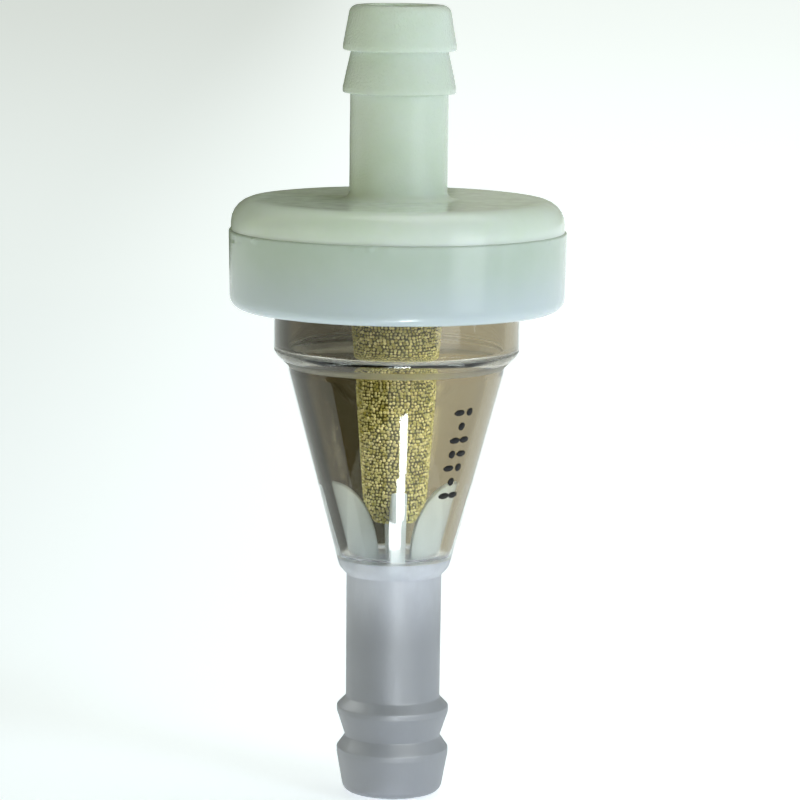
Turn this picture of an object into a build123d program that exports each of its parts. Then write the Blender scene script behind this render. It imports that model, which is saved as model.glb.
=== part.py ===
from build123d import *
import os

# In-line fuel filter for a small engine, hose end to hose end along Z.
# Origin: centre of the bowl's hose end face. +Z runs along the axis to the cap's hose end.
# Millimetres.

# Hose ends: both take 1/4 inch (6.35 mm bore) fuel hose.
barb_radius = 4.02
barb_land = 0.4
passage_radius = 2.2
cap_stem_radius = 3.48
bowl_stem_radius = 3.38
bowl_stem_draft = 0.04

# Heights of the main faces above the bowl's hose end.
overall_length = 56.6
cap_top_z = 42.9
cap_ceiling_z = 40.9
seam_z = 40.7
flange_top_z = 39.4
ring_bottom_z = 35.1
bowl_floor_z = 17.4
bowl_neck_z = 15.95
bowl_corner_z = 16.45

# Cap, a flat disc with a rounded rim.
cap_radius = 11.85
cap_rim_round = 1.7
stem_root_round = 0.6
cap_lip_radius = 10.9
cap_lip_height = 0.7
cap_groove_radius = 10.0
spigot_length = 1.8
spigot_wall = 0.82
boss_radius = 4.75
boss_bottom_z = 36.6

# Joining ring, moulded round the cap's lip and the bowl's flange.
ring_radius = 12.0
ring_draft = 0.1
ring_bottom_round = 0.95
ring_edge_round = 0.12

# Bowl: a short cylinder, a sloping shoulder and a long cone.
bowl_wall = 0.96
bowl_radius = 8.73
flange_radius = 10.2
flange_thickness = 1.2
shoulder_top_z = 31.95
shoulder_root_radius = 7.72
shoulder_root_z = 31.0
inner_root_radius = 6.98
land_height = 0.45
land_draft = 0.06
cone_slope = 0.264
corner_round = 1.2
floor_round = 0.4

# Ribs that centre the element's nose above the bowl's passage.
rib_count = 4
rib_thickness = 1.0
rib_top_z = 22.6
rib_inner_radius = 1.12
rib_curve_z = 16.95
rib_root_depth = 0.3
rib_turn = 4.0  # degrees about +Z from +X to the first rib
passage_mouth_radius = 2.6
passage_mouth_z = 15.9

# Filter element, a hollow cone of sintered bronze with its small end closed.
element_seat_radius = 3.62
element_neck_radius = 3.42
element_nose_radius = 2.27
element_nose_z = 21.4
element_end_radius = 1.42
element_end_z = 19.85
element_end_round = 0.35
element_nose_round = 0.8
element_neck_round = 0.05
element_bottom_round = 0.5
element_seat_top_z = 40.0
element_seat_bottom_z = 36.85
element_wall = 1.15

# Rounded edges shared by the mouldings.
tip_round = 0.65
barb_edge_round = 0.2
barb_step_round = 0.1
barb_ramp_round = 0.15
mouth_round = 0.15
socket_round = 0.2
ceiling_round = 0.3
shoulder_round = 0.7
shoulder_inner_round = 0.5
land_round = 0.1


def turned(corners):
    """Solid of revolution about Z from corners given as (radius, height, rounding)."""
    points = [(radius, height) for radius, height, rounding in corners]
    roundings = [rounding for radius, height, rounding in corners]
    with BuildSketch(Plane.XZ) as outline:
        with BuildLine():
            FilletPolyline(*points, radius=roundings, close=True)
        make_face()
    return revolve(outline.sketch, Axis.Z)


def cone_radius(height):
    """Outer radius of the bowl's cone at a height."""
    top_radius = shoulder_root_radius - land_draft
    top_z = shoulder_root_z - land_height
    return top_radius - cone_slope * (top_z - height)


def cap_barb(land_top_z):
    """The widest part of a barb and its square step back to the stem below."""
    land_bottom_z = land_top_z - barb_land
    return [
        (barb_radius, land_top_z, barb_edge_round),
        (barb_radius, land_bottom_z, barb_step_round),
        (cap_stem_radius, land_bottom_z, 0),
    ]


def make_cap():
    """Disc, hose nipple, lip for the ring, spigot for the bowl and socket for the element."""
    upper_barb_z = 53.8
    lower_barb_z = 50.8
    tip_radius = 3.52
    spigot_radius = bowl_radius - bowl_wall
    spigot_inner = spigot_radius - spigot_wall
    lip_top_z = flange_top_z + cap_lip_height
    barb_gap = 0.15
    lower_ramp_top_z = upper_barb_z - barb_land - barb_gap
    nipple = [
        (passage_radius, overall_length, mouth_round),
        (tip_radius, overall_length, tip_round),
        *cap_barb(upper_barb_z),
        (cap_stem_radius, lower_ramp_top_z, 0),
        *cap_barb(lower_barb_z),
    ]
    disc = [
        (cap_stem_radius, cap_top_z, stem_root_round),
        (cap_radius, cap_top_z, cap_rim_round),
        (cap_radius, seam_z, 0),
        (cap_groove_radius, seam_z, 0),
        (cap_groove_radius, lip_top_z, 0),
        (cap_lip_radius, lip_top_z, 0),
        (cap_lip_radius, flange_top_z, 0),
    ]
    inside = [
        (spigot_radius, flange_top_z, 0),
        (spigot_radius, flange_top_z - spigot_length, socket_round),
        (spigot_inner, flange_top_z - spigot_length, socket_round),
        (spigot_inner, cap_ceiling_z, ceiling_round),
        (boss_radius, cap_ceiling_z, ceiling_round),
        (boss_radius, boss_bottom_z, socket_round),
        (element_seat_radius, boss_bottom_z, mouth_round),
        (element_seat_radius, element_seat_top_z, 0),
        (passage_radius, element_seat_top_z, 0),
    ]
    return turned(nipple + disc + inside)


def make_joining_ring():
    """Ring with a C-shaped section that grips the cap's lip and the bowl's flange."""
    lip_top_z = flange_top_z + cap_lip_height
    flange_bottom_z = flange_top_z - flange_thickness
    return turned([
        (bowl_radius, ring_bottom_z, 0),
        (ring_radius - ring_draft, ring_bottom_z, ring_bottom_round),
        (ring_radius, seam_z, ring_edge_round),
        (cap_groove_radius, seam_z, 0),
        (cap_groove_radius, lip_top_z, 0),
        (cap_lip_radius, lip_top_z, 0),
        (cap_lip_radius, flange_top_z, 0),
        (flange_radius, flange_top_z, 0),
        (flange_radius, flange_bottom_z, 0),
        (bowl_radius, flange_bottom_z, 0),
    ])


def bowl_barb(land_bottom_z):
    """The widest part of a barb, which tapers downwards."""
    return [
        (barb_radius, land_bottom_z, barb_ramp_round),
        (barb_radius, land_bottom_z + barb_land, barb_edge_round),
    ]


def shoulder_inside_z(radius):
    """Height of the shoulder's inner face at a radius. The wall is as thick here as elsewhere."""
    slope = (shoulder_top_z - shoulder_root_z) / (bowl_radius - shoulder_root_radius)
    wall_rise = bowl_wall * (1 + slope**2) ** 0.5
    return shoulder_root_z + slope * (radius - shoulder_root_radius) + wall_rise


def make_bowl():
    """Clear cup: flange, cylinder, shoulder, cone, floor, ribs and hose nipple in one moulding."""
    lower_barb_z = 2.85
    upper_barb_z = 5.9
    tip_radius = 3.5
    valley_radius = 3.42
    valley_z = 4.1
    barb_back_height = 0.65
    stem_bottom_z = upper_barb_z + barb_land + barb_back_height
    flange_bottom_z = flange_top_z - flange_thickness
    land_bottom_z = shoulder_root_z - land_height
    inner_radius = bowl_radius - bowl_wall
    inner_shoulder_z = shoulder_inside_z(inner_radius)
    nipple = [
        (passage_radius, 0, mouth_round),
        (tip_radius, 0, tip_round),
        *bowl_barb(lower_barb_z),
        (valley_radius, valley_z, 0),
        *bowl_barb(upper_barb_z),
        (bowl_stem_radius, stem_bottom_z, 0),
    ]
    cup_outside = [
        (bowl_stem_radius + bowl_stem_draft, bowl_neck_z, 0),
        (cone_radius(bowl_corner_z), bowl_corner_z, corner_round),
        (cone_radius(land_bottom_z), land_bottom_z, land_round),
        (shoulder_root_radius, shoulder_root_z, land_round),
        (bowl_radius, shoulder_top_z, shoulder_round),
        (bowl_radius, flange_bottom_z, 0),
        (flange_radius, flange_bottom_z, 0),
        (flange_radius, flange_top_z, 0),
    ]
    cup_inside = [
        (inner_radius, flange_top_z, 0),
        (inner_radius, inner_shoulder_z, shoulder_inner_round),
        (inner_root_radius, shoulder_inside_z(inner_root_radius), shoulder_inner_round),
        (cone_radius(bowl_floor_z) - bowl_wall, bowl_floor_z, floor_round),
        (passage_mouth_radius, bowl_floor_z, 0),
        (passage_mouth_radius, passage_mouth_z, 0),
        (passage_radius, passage_mouth_z, 0),
    ]
    return turned(nipple + cup_outside + cup_inside) + make_ribs()


def make_ribs():
    """Fins on the bowl's inner wall, with rounded inner edges that cradle the element's nose.

    They stand on the ledge round the passage's wider mouth.
    """
    wall_top = cone_radius(rib_top_z) - bowl_wall
    wall_bottom = cone_radius(bowl_floor_z) - bowl_wall
    root_top = (wall_top + rib_root_depth, rib_top_z)
    root_bottom = (wall_bottom + rib_root_depth, bowl_floor_z - rib_root_depth)
    foot_radius = passage_mouth_radius + rib_root_depth
    curve_start = (wall_top, rib_top_z)
    curve_end = (rib_inner_radius, rib_curve_z)
    with BuildSketch(Plane.XZ) as outline:
        with BuildLine():
            Line(root_bottom, root_top)
            Line(root_top, curve_start)
            EllipticalCenterArc(
                (wall_top, rib_curve_z),
                wall_top - rib_inner_radius,
                rib_top_z - rib_curve_z,
                start_angle=90,
                arc_size=90,
            )
            Polyline(
                curve_end,
                (rib_inner_radius, passage_mouth_z),
                (foot_radius, passage_mouth_z),
                (foot_radius, root_bottom[1]),
                root_bottom,
            )
        make_face()
    rib = extrude(outline.sketch, rib_thickness / 2, both=True)
    step = 360 / rib_count
    return [rib.rotate(Axis.Z, rib_turn + step * index) for index in range(rib_count)]


def make_filter_element():
    """Thick-walled cone, open at the cap's socket and closed at its nose."""
    inner_top = element_neck_radius - element_wall
    inner_bottom = element_nose_radius - element_wall
    return turned([
        (0, element_end_z, 0),
        (element_end_radius, element_end_z, element_end_round),
        (element_nose_radius, element_nose_z, element_nose_round),
        (element_neck_radius, element_seat_bottom_z, 0),
        (element_seat_radius, element_seat_bottom_z, element_neck_round),
        (element_seat_radius, element_seat_top_z, 0),
        (inner_top, element_seat_top_z, 0),
        (inner_bottom, element_nose_z, element_bottom_round),
        (0, element_nose_z, 0),
    ])


os.makedirs("parts", exist_ok=True)
pieces = {
    "cap": make_cap(),
    "joining_ring": make_joining_ring(),
    "bowl": make_bowl(),
    "filter_element": make_filter_element(),
}
for name, solid in pieces.items():
    export_step(solid, f"parts/{name}.step")
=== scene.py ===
"""Looks of the in-line fuel filter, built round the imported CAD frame. Lengths are in millimetres until MM."""
import math
import random

import bmesh
import bpy
import numpy as np
from mathutils import Matrix, Vector, noise


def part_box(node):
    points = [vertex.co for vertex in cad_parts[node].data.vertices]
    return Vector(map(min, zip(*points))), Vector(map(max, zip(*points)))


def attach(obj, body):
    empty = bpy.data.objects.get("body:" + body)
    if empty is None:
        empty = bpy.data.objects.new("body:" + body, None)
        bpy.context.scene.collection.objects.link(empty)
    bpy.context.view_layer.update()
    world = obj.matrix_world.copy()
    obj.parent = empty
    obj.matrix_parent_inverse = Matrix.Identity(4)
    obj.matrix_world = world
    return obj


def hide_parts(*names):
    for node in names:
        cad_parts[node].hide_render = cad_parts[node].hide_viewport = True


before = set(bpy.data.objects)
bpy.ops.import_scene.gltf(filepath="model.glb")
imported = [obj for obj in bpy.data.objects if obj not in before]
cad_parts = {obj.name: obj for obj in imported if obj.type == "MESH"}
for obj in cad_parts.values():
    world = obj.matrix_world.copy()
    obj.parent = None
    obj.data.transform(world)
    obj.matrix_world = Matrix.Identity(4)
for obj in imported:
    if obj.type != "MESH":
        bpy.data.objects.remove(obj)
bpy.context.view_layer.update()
MM = 0.001

# Places that the frame gives, in millimetres.
overall_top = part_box("cap")[1][2] / MM
cap_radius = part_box("cap")[1][0] / MM
ring_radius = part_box("joining_ring")[1][0] / MM
ring_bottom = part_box("joining_ring")[0][2] / MM
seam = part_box("joining_ring")[1][2] / MM
flange_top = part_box("bowl")[1][2] / MM
flange_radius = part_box("bowl")[1][0] / MM
element_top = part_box("filter_element")[1][2] / MM
element_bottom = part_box("filter_element")[0][2] / MM

# Sizes that the frame's boxes don't give, the same as in the CAD model.
barb_radius = 4.02
barb_land = 0.4
passage_radius = 2.2
cap_stem_radius = 3.48
bowl_stem_radius = 3.38
cap_top = 42.9
cap_groove_radius = 10.0
cap_lip_radius = 10.9
flange_thickness = 1.2
lip_height = 0.7
bowl_radius = 8.73
bowl_wall = 0.96
bowl_floor = 17.4
shoulder_top = 31.95
shoulder_root = 31.0
shoulder_root_radius = 7.72
inner_root_radius = 6.98
cone_slope = 0.264
cone_top = 30.55
cone_top_radius = 7.66
passage_mouth = 15.9
passage_mouth_radius = 2.6
rib_top = 22.6
rib_inner_radius = 1.12
rib_curve_bottom = 16.95
rib_thickness = 1.0
rib_turn = 4.0
element_seat_bottom = 36.85
element_nose = 21.4
element_neck_radius = 3.42
element_nose_radius = 2.27
element_wall = 1.15
element_end_radius = 1.42
element_seat_radius = 3.62

SEGMENTS = 224


# ---------------------------------------------------------------- mesh making

def rounded(corners, steps=6):
    """A closed outline as (radius, height) points, from corners of (radius, height, rounding)."""
    points = []
    count = len(corners)
    for index in range(count):
        here = np.array(corners[index][:2], float)
        inward = here - np.array(corners[index - 1][:2], float)
        outward = np.array(corners[(index + 1) % count][:2], float) - here
        inward /= np.linalg.norm(inward)
        outward /= np.linalg.norm(outward)
        cross = inward[0] * outward[1] - inward[1] * outward[0]
        turn = math.atan2(cross, inward @ outward)
        rounding = corners[index][2]
        if rounding <= 0 or abs(turn) < 1e-4:
            points.append(tuple(here))
            continue
        start = here - inward * rounding * math.tan(abs(turn) / 2)
        side = np.array([-inward[1], inward[0]]) * math.copysign(1, turn)
        centre = start + side * rounding
        arm = start - centre
        arc_steps = max(2, math.ceil(steps * abs(turn) / (math.pi / 2)))
        for step in range(arc_steps + 1):
            angle = turn * step / arc_steps
            cosine, sine = math.cos(angle), math.sin(angle)
            points.append((
                centre[0] + arm[0] * cosine - arm[1] * sine,
                centre[1] + arm[0] * sine + arm[1] * cosine,
            ))
    return points


def divided(points, longest):
    """The closed outline with extra points, so that no straight run is longer than longest."""
    result = []
    for index, start in enumerate(points):
        end = points[(index + 1) % len(points)]
        length = math.dist(start, end)
        parts = max(1, math.ceil(length / longest))
        for part in range(parts):
            share = part / parts
            result.append((start[0] + (end[0] - start[0]) * share, start[1] + (end[1] - start[1]) * share))
    return result


def mesh_object(name, points, faces, smooth_angle=None):
    """A mesh object from points in millimetres. Edges sharper than smooth_angle degrees stay sharp."""
    mesh = bpy.data.meshes.new(name)
    mesh.from_pydata([tuple(MM * c for c in point) for point in points], [], faces)
    mesh.validate()
    mesh.update()
    made = bpy.data.objects.new(name, mesh)
    bpy.context.scene.collection.objects.link(made)
    if smooth_angle is None:
        mesh.polygons.foreach_set("use_smooth", [True] * len(mesh.polygons))
    else:
        mesh.shade_smooth()
        mesh.set_sharp_from_angle(angle=math.radians(smooth_angle))
    return made


def lathe(name, corners, longest=0.6, wobble=None, smooth_angle=38, segments=SEGMENTS):
    """A turned body with a finely divided skin. wobble(radius, height, angle) moves the skin outwards."""
    outline = divided(rounded(corners), longest)
    rings = len(outline)
    points = []
    for segment in range(segments):
        angle = 2 * math.pi * segment / segments
        for radius, height in outline:
            reach = radius + (wobble(radius, height, angle) if wobble and radius > 0 else 0)
            points.append((reach * math.cos(angle), reach * math.sin(angle), height))
    faces = []
    for segment in range(segments):
        here, there = segment * rings, (segment + 1) % segments * rings
        for row in range(rings):
            below = (row + 1) % rings
            faces.append((here + row, there + row, there + below, here + below))
    made = mesh_object(name, points, faces, smooth_angle)
    outwards(made)
    return made


def outwards(made):
    """Welds doubled points, drops faces of no area and turns the normals outwards."""
    work = bmesh.new()
    work.from_mesh(made.data)
    bmesh.ops.remove_doubles(work, verts=work.verts, dist=1e-6 * MM)
    bmesh.ops.dissolve_degenerate(work, edges=work.edges, dist=1e-6 * MM)
    bmesh.ops.recalc_face_normals(work, faces=work.faces)
    work.to_mesh(made.data)
    work.free()
    made.data.update()


def cone_radius(height):
    """Outer radius of the bowl's cone at a height."""
    return cone_top_radius - cone_slope * (cone_top - height)


def shoulder_inside(radius):
    """Height of the shoulder's inner face at a radius, for a wall of even thickness."""
    slope = (shoulder_top - shoulder_root) / (bowl_radius - shoulder_root_radius)
    return shoulder_root + slope * (radius - shoulder_root_radius) + bowl_wall * math.hypot(1, slope)


# ---------------------------------------------------------------- pieces

def cap_corners():
    tip = 3.52
    upper_barb, lower_barb = 53.8, 50.8
    lip_top = flange_top + lip_height
    spigot = bowl_radius - bowl_wall
    spigot_wall = 0.82
    spigot_bottom = flange_top - 1.8
    ceiling = 40.9
    boss_radius, boss_bottom = 4.75, 36.6
    return [
        (passage_radius, overall_top, 0.15),
        (tip, overall_top, 0.65),
        (barb_radius, upper_barb, 0.2),
        (barb_radius, upper_barb - barb_land, 0.14),
        (cap_stem_radius, upper_barb - barb_land, 0.04),
        (cap_stem_radius, upper_barb - barb_land - 0.15, 0),
        (barb_radius, lower_barb, 0.2),
        (barb_radius, lower_barb - barb_land, 0.14),
        (cap_stem_radius, lower_barb - barb_land, 0.06),
        (cap_stem_radius, cap_top, 0.6),
        (cap_radius, cap_top, 1.7),
        (cap_radius, seam, 0),
        (cap_groove_radius, seam, 0),
        (cap_groove_radius, lip_top, 0),
        (cap_lip_radius, lip_top, 0),
        (cap_lip_radius, flange_top, 0),
        (spigot, flange_top, 0),
        (spigot, spigot_bottom, 0.2),
        (spigot - spigot_wall, spigot_bottom, 0.2),
        (spigot - spigot_wall, ceiling, 0.3),
        (boss_radius, ceiling, 0.3),
        (boss_radius, boss_bottom, 0.2),
        (element_seat_radius, boss_bottom, 0.15),
        (element_seat_radius, element_top, 0),
        (passage_radius, element_top, 0),
    ]


def ring_corners():
    flange_bottom = flange_top - flange_thickness
    lip_top = flange_top + lip_height
    return [
        (bowl_radius, ring_bottom, 0.04),
        (ring_radius - 0.1, ring_bottom, 0.95),
        (ring_radius, seam, 0.14),
        (cap_groove_radius, seam, 0),
        (cap_groove_radius, lip_top, 0),
        (cap_lip_radius, lip_top, 0),
        (cap_lip_radius, flange_top, 0),
        (flange_radius, flange_top, 0),
        (flange_radius, flange_bottom, 0),
        (bowl_radius, flange_bottom, 0),
    ]


def bowl_corners():
    flange_bottom = flange_top - flange_thickness
    inner = bowl_radius - bowl_wall
    lower_barb, upper_barb = 2.85, 5.9
    return [
        (passage_radius, 0, 0.15),
        (3.5, 0, 0.65),
        (barb_radius, lower_barb, 0.15),
        (barb_radius, lower_barb + barb_land, 0.2),
        (3.42, 4.1, 0.12),
        (barb_radius, upper_barb, 0.15),
        (barb_radius, upper_barb + barb_land, 0.2),
        (bowl_stem_radius, upper_barb + barb_land + 0.65, 0.2),
        (bowl_stem_radius + 0.04, 15.95, 0.15),
        (cone_radius(16.45), 16.45, 1.2),
        (cone_top_radius, cone_top, 0.1),
        (shoulder_root_radius, shoulder_root, 0.12),
        (bowl_radius, shoulder_top, 0.7),
        (bowl_radius, flange_bottom, 0),
        (flange_radius, flange_bottom, 0),
        (flange_radius, flange_top, 0),
        (inner, flange_top, 0.05),
        (inner, shoulder_inside(inner), 0.5),
        (inner_root_radius, shoulder_inside(inner_root_radius), 0.5),
        (cone_radius(bowl_floor) - bowl_wall, bowl_floor, 0.4),
        (passage_mouth_radius, bowl_floor, 0.1),
        (passage_mouth_radius, passage_mouth, 0.1),
        (passage_radius, passage_mouth, 0.1),
    ]


def rib_outline():
    """Side view of a rib as (radius, height) points, from the wall's root round the curved inner edge."""
    wall_top = cone_radius(rib_top) - bowl_wall
    wall_bottom = cone_radius(bowl_floor) - bowl_wall
    embed = 0.12
    points = [(wall_bottom + embed, bowl_floor - embed), (wall_top + embed, rib_top)]
    steps = 28
    for step in range(steps + 1):
        angle = math.pi / 2 * (1 + step / steps)
        points.append((
            wall_top + (wall_top - rib_inner_radius) * math.cos(angle),
            rib_curve_bottom + (rib_top - rib_curve_bottom) * math.sin(angle),
        ))
    foot = passage_mouth + 0.02
    points += [
        (rib_inner_radius, foot),
        (passage_mouth_radius + embed, foot),
        (passage_mouth_radius + embed, bowl_floor - embed),
    ]
    return points


def make_ribs():
    """Four closed slabs on the bowl's inner wall, with slightly rounded edges."""
    outline = rib_outline()
    work = bmesh.new()
    for turn in range(4):
        spin = Matrix.Rotation(math.pi / 2 * turn + math.radians(rib_turn), 3, "Z")
        front = [work.verts.new(spin @ Vector((r, -rib_thickness / 2, z)) * MM) for r, z in outline]
        back = [work.verts.new(spin @ Vector((r, rib_thickness / 2, z)) * MM) for r, z in outline]
        work.faces.new(front)
        work.faces.new(list(reversed(back)))
        for index in range(len(outline)):
            after = (index + 1) % len(outline)
            work.faces.new((front[index], back[index], back[after], front[after]))
    bmesh.ops.recalc_face_normals(work, faces=work.faces)
    long_edges = [e for e in work.edges if len(e.link_faces) == 2 and e.calc_face_angle(0) > math.radians(60)]
    bmesh.ops.bevel(work, geom=long_edges, offset=0.09 * MM, segments=3, profile=0.5, affect="EDGES")
    bmesh.ops.triangulate(work, faces=[f for f in work.faces if len(f.verts) > 4])
    mesh = bpy.data.meshes.new("bowl_ribs")
    work.to_mesh(mesh)
    work.free()
    made = bpy.data.objects.new("bowl_ribs", mesh)
    bpy.context.scene.collection.objects.link(made)
    mesh.shade_smooth()
    mesh.set_sharp_from_angle(angle=math.radians(40))
    return made


def element_core_corners():
    """The bed of the element just under its outer beads."""
    sink = 0.09
    inner_top = element_neck_radius - element_wall
    inner_bottom = element_nose_radius - element_wall
    return [
        (0.0, element_bottom + sink, 0),
        (element_end_radius - sink, element_bottom + sink, 0.35),
        (element_nose_radius - sink, element_nose, 0.8),
        (element_neck_radius - sink, element_seat_bottom, 0),
        (element_seat_radius - 0.01, element_seat_bottom, 0.05),
        (element_seat_radius - 0.01, element_top, 0),
        (inner_top, element_top, 0),
        (inner_bottom, element_nose, 0.5),
        (0.0, element_nose, 0),
    ]


def element_radius(height):
    """Outer radius of the element's cone and nose at a height."""
    if height >= element_nose:
        share = (height - element_nose) / (element_seat_bottom - element_nose)
        return element_nose_radius + (element_neck_radius - element_nose_radius) * share
    share = (height - element_bottom) / (element_nose - element_bottom)
    return element_end_radius + (element_nose_radius - element_end_radius) * share ** 0.8


def unit_bead():
    """Points and faces of one bead, an icosphere of radius 1."""
    work = bmesh.new()
    bmesh.ops.create_icosphere(work, subdivisions=2, radius=1)
    work.verts.ensure_lookup_table()
    points = np.array([vertex.co[:] for vertex in work.verts])
    faces = [[vertex.index for vertex in face.verts] for face in work.faces]
    work.free()
    return points, faces


def cone_beads(rng, low, high, pitch):
    """(centre, outward direction, size) of every bead on the element's side between two heights."""
    places = []
    height = low
    while height < high:
        count = max(6, round(2 * math.pi * element_radius(height) / pitch))
        shift = rng.random()
        for index in range(count):
            angle = 2 * math.pi * (index + shift + rng.uniform(-0.2, 0.2)) / count
            level = max(height + rng.uniform(-0.2, 0.2) * pitch, element_bottom + 0.1)
            size = pitch * rng.choice([0.32, 0.36, 0.4, 0.43, 0.47])
            sink = size * 0.9 + (rng.random() < 0.2) * rng.uniform(0.1, 0.3) * pitch
            reach = element_radius(level) + 0.02 - sink
            outward = (math.cos(angle), math.sin(angle), 0.0)
            places.append(((reach * outward[0], reach * outward[1], level), outward, size))
        height += pitch * 0.86
    return places


def end_beads(rng, pitch):
    """(centre, outward direction, size) of every bead on the element's closed end."""
    places = []
    radius = 0.0
    while radius < 1.3:
        count = max(1, round(2 * math.pi * radius / pitch))
        for index in range(count):
            angle = 2 * math.pi * (index + rng.uniform(-0.2, 0.2)) / count + radius * 9
            size = pitch * rng.uniform(0.46, 0.58)
            centre = (radius * math.cos(angle), radius * math.sin(angle), element_bottom + size * 0.85)
            places.append((centre, (0.0, 0.0, -1.0), size))
        radius += pitch * 0.85
    return places


def make_beads(name, places, rng):
    """All the beads of a list as one mesh, each turned and stretched at random, without its buried side."""
    unit, unit_faces = unit_bead()
    points, faces = [], []
    for centre, outward, size in places:
        axis = Vector((rng.uniform(-1, 1), rng.uniform(-1, 1), rng.uniform(0.2, 1)))
        turn = np.array(Matrix.Rotation(rng.uniform(0, math.tau), 3, axis))
        stretch = [rng.uniform(0.9, 1.1), rng.uniform(0.9, 1.1), rng.uniform(0.9, 1.1)]
        shape = (unit * stretch) @ turn.T * size
        kept = shape @ np.array(outward) > -0.3 * size
        number = np.cumsum(kept) - 1 + len(points)
        points.extend((shape[kept] + centre).tolist())
        faces.extend(tuple(int(number[i]) for i in face) for face in unit_faces if all(kept[i] for i in face))
    return mesh_object(name, points, faces)


# ---------------------------------------------------------------- materials

class Nodes:
    """Short calls for building one material."""

    def __init__(self, name):
        self.material = bpy.data.materials.new(name)
        self.material.use_nodes = True
        self.tree = self.material.node_tree
        self.shader = self.tree.nodes["Principled BSDF"]
        self.place = self.tree.nodes.new("ShaderNodeTexCoord").outputs["Object"]

    def add(self, kind, inputs=(), **settings):
        node = self.tree.nodes.new(kind)
        for key, value in settings.items():
            setattr(node, key, value)
        for key, value in dict(inputs).items():
            self.put(node.inputs[key], value)
        return node

    def put(self, socket, value):
        if isinstance(value, bpy.types.NodeSocket):
            self.tree.links.new(value, socket)
        else:
            socket.default_value = value

    def noise(self, scale, detail=3.0, rough=0.55, place=None):
        """Noise with a grain size of 1 / scale, in 1 / mm."""
        inputs = {"Vector": place or self.place, "Scale": scale / MM, "Detail": detail, "Roughness": rough}
        return self.add("ShaderNodeTexNoise", inputs).outputs["Fac"]

    def stretched(self, x, y, z):
        """Object coordinates multiplied by x, y and z."""
        return self.add("ShaderNodeMapping", {"Vector": self.place, "Scale": (x, y, z)}).outputs["Vector"]

    def remap(self, value, low, high, out_low, out_high, smooth=False):
        inputs = {"Value": value, "From Min": low, "From Max": high, "To Min": out_low, "To Max": out_high}
        kind = "SMOOTHSTEP" if smooth else "LINEAR"
        return self.add("ShaderNodeMapRange", inputs, interpolation_type=kind, clamp=True).outputs["Result"]

    def math(self, operation, a, b=0.0):
        return self.add("ShaderNodeMath", {0: a, 1: b}, operation=operation).outputs["Value"]

    def mix(self, share, first, second):
        node = self.add("ShaderNodeMix", data_type="RGBA")
        self.put(node.inputs["Factor"], share)
        self.put(node.inputs[6], first)
        self.put(node.inputs[7], second)
        return node.outputs[2]

    def axis(self, name):
        """One object coordinate in metres."""
        return self.add("ShaderNodeSeparateXYZ", {0: self.place}).outputs[name]

    def bump(self, height, strength, distance):
        """Surface relief of that many millimetres for a height from 0 to 1."""
        inputs = {"Height": height, "Strength": strength, "Distance": distance * MM}
        self.put(self.shader.inputs["Normal"], self.add("ShaderNodeBump", inputs).outputs["Normal"])

    def set(self, **values):
        for key, value in values.items():
            self.put(self.shader.inputs[key.replace("_", " ")], value)


def colour(red, green, blue):
    return (red, green, blue, 1.0)


def nylon(name, light, dark, painted_underlight=None):
    """Natural moulded nylon: milky and faintly mottled. The hose end's skin is grained, coarser on its barbs.
    The last colour is the bluer tone it turns to downwards below the seam: painted light from the pale floor
    below."""
    stem_grain, barb_grain, bare_grain, roughness = 0.45, 1.0, 0.01, 0.15
    n = Nodes(name)
    cloud = n.noise(0.16, 4.0, 0.6)
    base = n.mix(n.remap(cloud, 0.35, 0.7, 0.0, 1.0), dark, light)
    # Painted light: below the seam the colour turns bluer, standing in for light from the pale floor below.
    if painted_underlight:
        low, high = (ring_bottom + 0.5) * MM, (seam - 0.8) * MM
        base = n.mix(n.remap(n.axis("Z"), low, high, 1.0, 0.0, smooth=True), base, painted_underlight)
    fine = n.noise(5.0, 3.0, 0.65)
    foot_low, foot_high = (cap_top + 0.3) * MM, (cap_top + 1.0) * MM
    barbs_low, barbs_high = 50.2 * MM, 50.6 * MM
    stem = n.remap(n.axis("Z"), foot_low, foot_high, bare_grain, stem_grain, smooth=True)
    grain = n.remap(n.axis("Z"), barbs_low, barbs_high, stem, barb_grain, smooth=True)
    n.set(Base_Color=base, IOR=1.5, Subsurface_Weight=0.35, Subsurface_Scale=0.8 * MM)
    n.set(Subsurface_Radius=(1.0, 1.15, 0.75))
    n.set(Roughness=n.remap(n.noise(0.9, 3.0), 0.3, 0.7, roughness - 0.04, roughness + 0.06))
    n.bump(n.math("MULTIPLY", fine, grain), 1.0, 0.09)
    return n.material


def shoulder_lines(n):
    """1 along the two edges of the bowl's shoulder, where the moulding is dull, and 0 elsewhere."""
    share = 0.0
    for level, half in ((31.22, 0.2), (32.2, 0.03)):
        gap = n.math("ABSOLUTE", n.math("SUBTRACT", n.axis("Z"), level * MM))
        share = n.math("MAXIMUM", share, n.remap(gap, half * MM, (half + 0.12) * MM, 1.0, 0.0, smooth=True))
    return share


def painted_shade_tint(n):
    """Brown tint on the bowl's inner face, in upright streaks and paler towards the neck: painted shade that
    darkens and browns the view through the bowl.
    """
    streaks = n.noise(0.4, 3.0, 0.6, n.stretched(1.0, 1.0, 0.12))
    tint = n.mix(n.remap(streaks, 0.3, 0.7, 0.0, 1.0), colour(0.95, 0.92, 0.84), colour(0.86, 0.80, 0.68))
    clear = n.remap(n.axis("Z"), 17.8 * MM, 24.5 * MM, 1.0, 0.0, smooth=True)
    return n.mix(clear, tint, colour(0.93, 0.94, 0.92))


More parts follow.
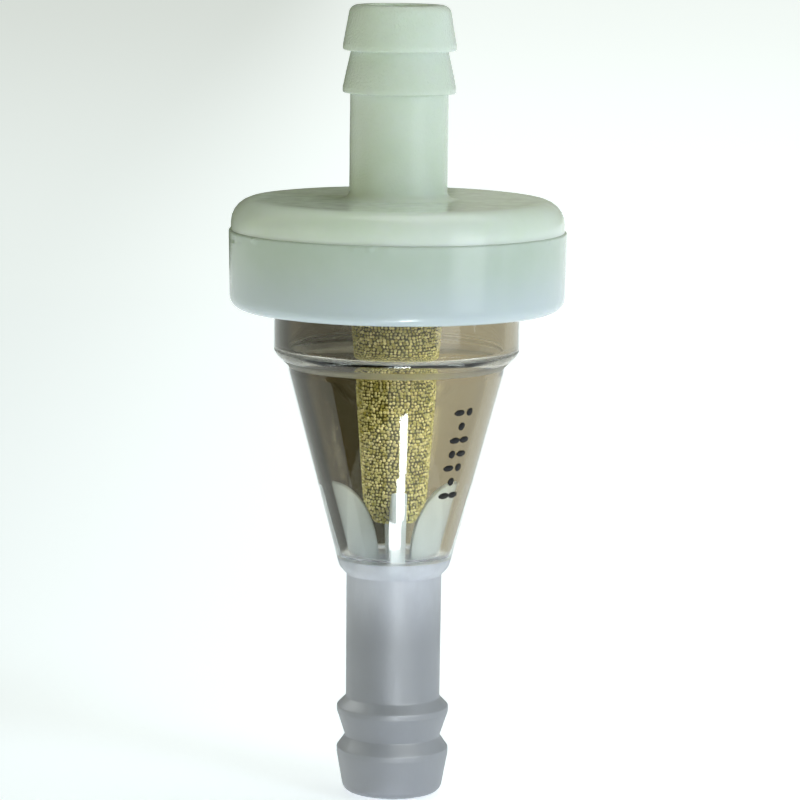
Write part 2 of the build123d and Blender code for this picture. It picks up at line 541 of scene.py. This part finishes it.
def clear_plastic(name, inside):
    """Clear moulded plastic with faint drawn lines and a slightly uneven skin, dull towards the neck."""
    n = Nodes(name)
    n.set(Transmission_Weight=1.0, IOR=1.49)
    dull = n.remap(n.axis("Z"), 16.8 * MM, 18.6 * MM, 0.36, 0.03, smooth=True)
    dull = n.math("MAXIMUM", dull, n.math("MULTIPLY", shoulder_lines(n), 0.45))
    n.set(Roughness=dull)
    waves = n.noise(0.22, 2.0, 0.5, n.stretched(1.0, 1.0, 0.3))
    n.bump(waves, 0.25, 0.06)
    # The inner face takes the brown tint with painted shade; the outer face a plain faint tint.
    n.set(Base_Color=painted_shade_tint(n) if inside else colour(0.86, 0.85, 0.77))
    return n.material


def frosted_plastic(name, tone, roughness, transmission):
    """The same plastic where it is dull: the outlet stem, the neck and the ribs. Its outlet stem has painted
    shade, darker from the neck down towards its end.
    """
    n = Nodes(name)
    n.set(Transmission_Weight=transmission, IOR=1.49)
    cloud = n.noise(0.35, 4.0, 0.6, n.stretched(1.0, 1.0, 0.35))
    darker = tuple(0.78 * c for c in tone[:3])
    mottled = n.mix(n.remap(cloud, 0.35, 0.65, 0.0, 1.0), colour(*darker), tone)
    # Painted shade: the outlet stem darkens from the neck down towards its end.
    shaded_tone = tuple(0.57 * c for c in tone[:3])
    tip = n.remap(n.axis("Z"), 11.0 * MM, 15.8 * MM, 1.0, 0.0, smooth=True)
    n.set(Base_Color=n.mix(tip, mottled, colour(*shaded_tone)))
    dullness = n.noise(0.5, 3.0, 0.6, n.stretched(1.0, 1.0, 0.3))
    n.set(Roughness=n.remap(dullness, 0.3, 0.7, roughness - 0.1, roughness + 0.12))
    n.bump(n.noise(1.2, 4.0, 0.65, n.stretched(1.0, 1.0, 0.5)), 0.4, 0.05)
    return n.material


def bronze():
    """Sintered bronze beads, each a little lighter, darker or redder than the next."""
    n = Nodes("sintered_bronze_beads")
    shade = n.add("ShaderNodeNewGeometry").outputs["Random Per Island"]
    base = n.mix(shade, colour(0.46, 0.41, 0.10), colour(1.0, 0.94, 0.50))
    n.set(Base_Color=base, Metallic=0.4, Roughness=n.remap(shade, 0.0, 1.0, 0.45, 0.26), IOR=1.5)
    return n.material


def bronze_bed():
    """The bed between the beads, painted dark as the shade in the pores."""
    n = Nodes("sintered_bronze_bed_painted_shade")
    # Painted shade: the bed's near-black colour stands for the shade between the beads.
    base = n.mix(n.noise(2.5, 3.0), colour(0.06, 0.055, 0.012), colour(0.16, 0.145, 0.04))
    n.set(Base_Color=base, Metallic=0.3, Roughness=0.7)
    n.bump(n.noise(4.0, 3.0), 0.8, 0.08)
    return n.material


def ink():
    """Matt black marking ink, a little worn."""
    n = Nodes("marking_ink")
    worn = n.remap(n.noise(4.0, 3.0), 0.4, 0.6, 0.0, 1.0)
    base = n.mix(worn, colour(0.004, 0.004, 0.005), colour(0.02, 0.018, 0.018))
    n.set(Base_Color=base, Roughness=0.6, Specular_IOR_Level=0.25)
    return n.material


# ---------------------------------------------------------------- building

def finish_piece(made, node):
    """A visible piece: rides on the part and stands for its CAD node, which it hides."""
    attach(made, "root")
    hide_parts(node)


def make_cap():
    def uneven(radius, height, angle):
        """Slight waviness of the disc and, finer, of the hose end."""
        if height < 40 or radius < 3:
            return 0.0
        place = Vector((math.cos(angle), math.sin(angle), height * 0.25)) * 1.7
        return 0.018 * noise.noise(place) if radius > 4.5 else 0.012 * noise.noise(place * 2)

    made = lathe("cap", cap_corners(), longest=0.35, wobble=uneven)
    made.data.materials.append(nylon("cap_nylon", colour(0.74, 0.81, 0.75), colour(0.68, 0.77, 0.66)))
    finish_piece(made, "cap")
    return made


def make_ring():
    # Beads of flash: azimuth and half width in degrees, and how far each stands out in millimetres.
    blobs = [
        (-104, 1.6, 0.10),
        (-99, 1.2, 0.14),
        (-93, 1.8, 0.09),
        (-146, 1.3, 0.12),
        (-30, 1.5, 0.07),
        (40, 2.0, 0.1),
        (120, 1.7, 0.12),
    ]
    bead_level, bead_height = seam - 0.15, 0.22

    def flash(radius, height, angle):
        """Uneven top edge and small beads of flash along the seam."""
        if radius < 11.5 or height < seam - 0.7:
            return 0.0
        place = Vector((math.cos(angle), math.sin(angle), 0.3))
        reach = 0.02 * noise.noise(place * 2.6) + 0.012 * noise.noise(place * 14)
        for middle, half_width, size in blobs:
            gap = (math.degrees(angle) - middle + 180) % 360 - 180
            upright = math.exp(-((bead_level - height) / bead_height) ** 2)
            reach += size * math.exp(-(gap / half_width) ** 2) * upright
        return reach

    # The skin is divided finely enough to carry the beads of flash.
    made = lathe("joining_ring", ring_corners(), longest=0.12, wobble=flash, segments=420)
    # The third colour is painted light: the bluer tone of the ring's lower part, lit from the floor below.
    light, dark, painted_underlight = colour(0.53, 0.61, 0.55), colour(0.48, 0.57, 0.49), colour(0.55, 0.62, 0.66)
    made.data.materials.append(nylon("ring_nylon", light, dark, painted_underlight))
    finish_piece(made, "joining_ring")
    return made


CLEAR, INNER_SHADE, FROSTED, RIB = range(4)


def bowl_zone(radius, height):
    """Which of the bowl's four finishes a place on its skin has."""
    if height < 17.0:
        return FROSTED
    wall_middle = cone_radius(height) - bowl_wall / 2 if height < cone_top else bowl_radius - bowl_wall / 2
    return INNER_SHADE if radius < wall_middle else CLEAR


def make_bowl():
    made = lathe("bowl", bowl_corners(), longest=0.4)
    for face in made.data.polygons:
        x, y, z = face.center
        face.material_index = bowl_zone(math.hypot(x, y) / MM, z / MM)
    ribs = make_ribs()
    for face in ribs.data.polygons:
        face.material_index = RIB
    made.data.materials.append(clear_plastic("bowl_clear", False))
    made.data.materials.append(clear_plastic("bowl_inner_painted_shade", True))
    made.data.materials.append(frosted_plastic("bowl_frosted", colour(0.80, 0.82, 0.90), 0.42, 0.5))
    rib_material = frosted_plastic("bowl_rib", colour(0.86, 0.94, 1.0), 0.42, 0.3)
    made.data.materials.append(rib_material)
    for material in made.data.materials:
        ribs.data.materials.append(material)
    with bpy.context.temp_override(active_object=made, selected_editable_objects=[made, ribs], object=made):
        bpy.ops.object.join()
    finish_piece(made, "bowl")
    return made


def make_element():
    rng = random.Random(7)
    core = lathe("filter_element", element_core_corners(), longest=0.5, segments=96)
    core.data.materials.append(bronze_bed())
    finish_piece(core, "filter_element")
    pitch = 0.27
    middle = 28.5
    grains = bronze()
    lower_places = end_beads(rng, pitch) + cone_beads(rng, element_bottom + 0.08, middle, pitch)
    lower = make_beads("element_beads_lower", lower_places, rng)
    upper = make_beads("element_beads_upper", cone_beads(rng, middle, element_seat_bottom - 0.1, pitch), rng)
    for beads in (lower, upper):
        beads.data.materials.append(grains)
        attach(beads, "root")
    return core


def make_marks():
    """Plain dots and dashes printed down the cone, where the original has its date marks."""
    rng = random.Random(3)
    points, faces = [], []
    azimuth = math.radians(-90 + 43)
    corners = 18
    dot, dash = (0.29, 0.29), (0.46, 0.23)
    rows = [(dash, dot), (dot,), (dash, dash), (dot, dash), (dash, dot), (dot,), (dash, dash)]
    for row, shapes in enumerate(rows):
        level = 28.4 - 1.02 * row
        for column, (wide, tall) in enumerate(shapes):
            shift = (column - (len(shapes) - 1) / 2) * 0.92 + rng.uniform(-0.05, 0.05)
            start = len(points)
            for corner in range(corners):
                turn = math.tau * corner / corners
                edge = rng.uniform(0.94, 1.04)
                height = level + tall * edge * math.sin(turn)
                radius = cone_radius(height) + 0.035
                angle = azimuth + (shift + wide * edge * math.cos(turn)) / radius
                points.append((radius * math.cos(angle), radius * math.sin(angle), height))
            faces.append(tuple(range(start, start + corners)))
    made = mesh_object("printed_marks", points, faces)
    made.data.materials.append(ink())
    thick = made.modifiers.new("thickness", "SOLIDIFY")
    thick.thickness = 0.02 * MM
    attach(made, "root")
    return made


# ---------------------------------------------------------------- stage

AIM = Vector((0.29, 0.0, 28.48))
DISTANCE = 278.57
PITCH = math.radians(8.15)
ROLL = math.radians(0.66)
LENS = 175.5


def make_camera():
    """The camera at the photograph's viewing angle."""
    data = bpy.data.cameras.new("camera")
    data.lens = LENS
    data.sensor_width = 36
    data.clip_start = 0.01
    data.clip_end = 50
    made = bpy.data.objects.new("camera", data)
    bpy.context.scene.collection.objects.link(made)
    place = AIM + DISTANCE * Vector((0, -math.cos(PITCH), math.sin(PITCH)))
    turn = Matrix.Rotation(math.pi / 2 - PITCH, 4, "X") @ Matrix.Rotation(ROLL, 4, "Z")
    made.matrix_world = Matrix.Translation(place * MM) @ turn
    bpy.context.scene.camera = made


def matte(name, shade):
    """Nodes of a matte card or floor."""
    n = Nodes(name)
    n.set(Base_Color=shade, Roughness=0.9, Specular_IOR_Level=0.2)
    return n


def card(name, width, height, place, facing, material):
    """A flat card of the stage, in millimetres, with its front towards a point."""
    mesh = bpy.data.meshes.new(name)
    w, h = width / 2 * MM, height / 2 * MM
    mesh.from_pydata([(-w, -h, 0), (w, -h, 0), (w, h, 0), (-w, h, 0)], [], [(0, 1, 2, 3)])
    made = bpy.data.objects.new(name, mesh)
    bpy.context.scene.collection.objects.link(made)
    look = (Vector(facing) - Vector(place)).to_track_quat("Z", "Y").to_matrix().to_4x4()
    made.matrix_world = Matrix.Translation(Vector(place) * MM) @ look
    made.data.materials.append(material)
    return made


def softbox(name, width, height, place, facing, power, tone):
    """A rectangular soft light, in millimetres and watts, that the camera doesn't see."""
    data = bpy.data.lights.new(name, "AREA")
    data.shape = "RECTANGLE"
    data.size, data.size_y = width * MM, height * MM
    data.energy = power
    data.color = tone
    made = bpy.data.objects.new(name, data)
    bpy.context.scene.collection.objects.link(made)
    look = (Vector(place) - Vector(facing)).to_track_quat("Z", "Y").to_matrix().to_4x4()
    made.matrix_world = Matrix.Translation(Vector(place) * MM) @ look
    made.visible_camera = False
    return made


def around(azimuth, distance, height):
    """A point round the part, with azimuth in degrees to the right of the camera."""
    angle = math.radians(azimuth)
    return (distance * math.sin(angle), -distance * math.cos(angle), height)


def gloss_panel(name, width, height, place, facing, radiance):
    """A softbox that only gloss sees, with a radiance instead of a power."""
    power = radiance * math.pi * width * height * MM * MM
    made = softbox(name, width, height, place, facing, power, (0.90, 0.96, 1.0))
    made.visible_diffuse = False
    made.visible_transmission = False
    return made


def inner_light(name, azimuth, width, tall, height, power):
    """A softbox whose light only comes in through the clear bowl, for the element and the ribs."""
    made = softbox(name, width, tall, around(azimuth, 220, height), (0, 0, 28), power, (0.94, 0.98, 0.97))
    made.visible_diffuse = False
    made.visible_glossy = False


def streak_panel(name, level, span, left, right):
    """A small panel low in front, which the bowl's cone mirrors as part of its upright streak. level and span
    are the middle and the length of that part on the cone, and left and right are the panel's edges."""
    dip = math.radians(37.75)
    reach, radiance = 28.0, 26.0
    forward = -cone_radius(level) - reach * math.cos(dip)
    height = level - reach * math.sin(dip)
    place = ((left + right) / 2, forward, height)
    facing = (place[0], forward + math.cos(dip), height + math.sin(dip))
    gloss_panel(name, right - left, span, place, facing, radiance)


def hidden_flags():
    """Dark olive cards behind, to the left and low in front. Gloss sees all three, soft light only the left one.
    The camera doesn't see them and they throw no shadow."""
    olive = matte("flag", colour(0.08, 0.078, 0.03)).material
    back = card("flag_back", 480, 330, (-232, 320, 166), (-232, 0, 166), olive)
    left = card("flag_left", 360, 420, (-260, -90, 215), (0, 0, 45), olive)
    low = card("flag_low", 130, 130, (-72, -80, 0.5), (-72, -80, 100), olive)
    for made in (back, left, low):
        made.visible_camera = False
        made.visible_transmission = False
        made.visible_shadow = False
    back.visible_diffuse = False
    low.visible_diffuse = False


def make_floor():
    """The plain pale floor. It glows a little less towards the left, where the light falls off."""
    n = matte("floor", colour(0.80, 0.84, 0.88))
    glow = n.remap(n.axis("X"), -65.0 * MM, 10.0 * MM, 0.40, 0.64, smooth=True)
    n.set(Emission_Color=colour(0.92, 0.97, 1.0), Emission_Strength=glow)
    width, level = 9000, -0.2
    made = card("floor", width, width, (0, 0, level), (0, 0, 1000), n.material)
    made.matrix_world = Matrix.Translation((0, 0, level * MM))


def make_surround():
    """A low brown wall all round the part, for the dim room that shows through its clear plastic; it glows with
    the room's painted light. Only sight through plastic meets it. It is the same height on every side, with
    painted shade that makes it darker on the left."""
    radius, height, sides = 42.0, 36.0, 96
    n = Nodes("surround")
    # Painted shade: the wall's glow is darker on its left side.
    side = n.remap(n.axis("X"), -2.0 * MM, 5.0 * MM, 0.0, 1.0, smooth=True)
    tone = n.mix(side, colour(0.035, 0.03, 0.014), colour(0.40, 0.36, 0.25))
    n.set(Base_Color=colour(0.0, 0.0, 0.0), Specular_IOR_Level=0.0)
    n.set(Emission_Color=tone, Emission_Strength=1.0)
    points, faces = [], []
    for step in range(sides):
        angle = math.tau * step / sides
        across, along = radius * MM * math.cos(angle), radius * MM * math.sin(angle)
        points += [(across, along, 0.0), (across, along, height * MM)]
        after = (step + 1) % sides
        faces.append((2 * step, 2 * after, 2 * after + 1, 2 * step + 1))
    mesh = bpy.data.meshes.new("surround")
    mesh.from_pydata(points, [], faces)
    made = bpy.data.objects.new("surround", mesh)
    bpy.context.scene.collection.objects.link(made)
    made.data.materials.append(n.material)
    made.visible_camera = False
    made.visible_diffuse = False
    made.visible_glossy = False
    made.visible_shadow = False


def make_stage():
    make_floor()
    make_surround()
    hidden_flags()
    world = bpy.data.worlds.new("studio")
    bpy.context.scene.world = world
    world.use_nodes = True
    world.node_tree.nodes["Background"].inputs["Color"].default_value = colour(0.90, 0.93, 0.72)
    world.node_tree.nodes["Background"].inputs["Strength"].default_value = 0.40
    key = softbox("key", 130, 560, around(48, 480, 200), (0, 0, 35), 0.92, (0.72, 0.86, 1.0))
    key.visible_glossy = False
    gloss_panel("window", 84, 52, around(48, 200, 38), around(0, 0, 38), 2.8)
    gloss_panel("window_above", 70, 60, around(48, 200, 98), around(0, 0, 98), 1.1)
    gloss_panel("window_edge", 7, 56, around(76, 200, 38), around(0, 0, 38), 2.8)
    gloss_panel("window_sill", 84, 3, around(48, 200, 9.5), around(0, 0, 9.5), 2.4)
    gloss_panel("window_foot", 84, 1.6, around(48, 200, 5.6), around(0, 0, 5.6), 2.4)
    softbox("fill", 120, 300, around(-62, 520, 200), (0, 0, 35), 0.26, (1.0, 1.0, 0.56))
    softbox("top", 700, 700, (150, 150, 900), (0, 0, 0), 2.3, (0.92, 0.97, 1.0))
    inner_light("inside_front", 36, 120, 200, 112, 2.1)
    inner_light("inside_back", -128, 180, 130, 205, 1.3)
    streak_panel("streak_upper", 25.6, 4.8, 2.6, 7.3)
    streak_panel("streak_middle", 21.2, 3.6, 1.0, 7.4)
    streak_panel("streak_lower", 18.25, 2.1, -4.6, 5.4)
    scene = bpy.context.scene
    scene.view_settings.view_transform = "Standard"
    scene.view_settings.look = "None"


make_cap()
make_ring()
make_bowl()
make_element()
make_marks()
make_stage()
make_camera()
